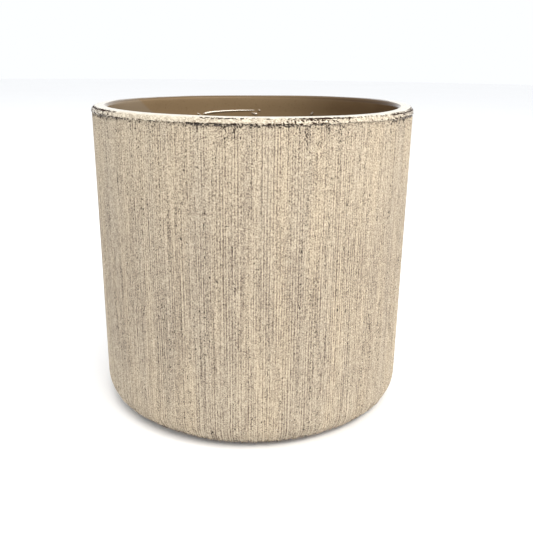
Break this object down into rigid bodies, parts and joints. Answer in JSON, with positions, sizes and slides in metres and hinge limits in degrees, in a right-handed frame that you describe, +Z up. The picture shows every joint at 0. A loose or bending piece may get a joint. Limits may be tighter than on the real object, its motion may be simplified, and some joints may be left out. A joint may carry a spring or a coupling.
{
  "type": "plant pot cover",
  "caption": "Cylindrical glazed earthenware plant pot cover with combed cream slip outside, glossy cream lip, rounded base and glossy brown lining.",
  "frame": {"origin": "centre of the base, on the surface the pot stands on", "axes": "+Z up along the pot's axis, X and Y are equal directions across the round mouth"},
  "size_m": [0.19, 0.19, 0.18],
  "materials": {
    "fired_clay": "bare fired earthenware, matt and slightly porous",
    "dark_coat": "dark brown underglaze, satin, showing in a broken line under the lip, along the foot and in scratches",
    "cream_slip": "thick cream slip, combed in vertical lines, grainy and matt",
    "cream_glaze": "glossy cream glaze with dark specks",
    "brown_glaze": "glossy olive-brown glaze",
    "felt": "thin brown felt"
  },
  "bodies": {
    "root": {"clay_body": "fired_clay", "dark_underglaze": "dark_coat", "combed_slip": "cream_slip", "lip_glaze": "cream_glaze", "inner_glaze": "brown_glaze", "felt_pad_1": "felt", "felt_pad_2": "felt", "felt_pad_3": "felt", "felt_pad_4": "felt"}
  },
  "joints": []
}
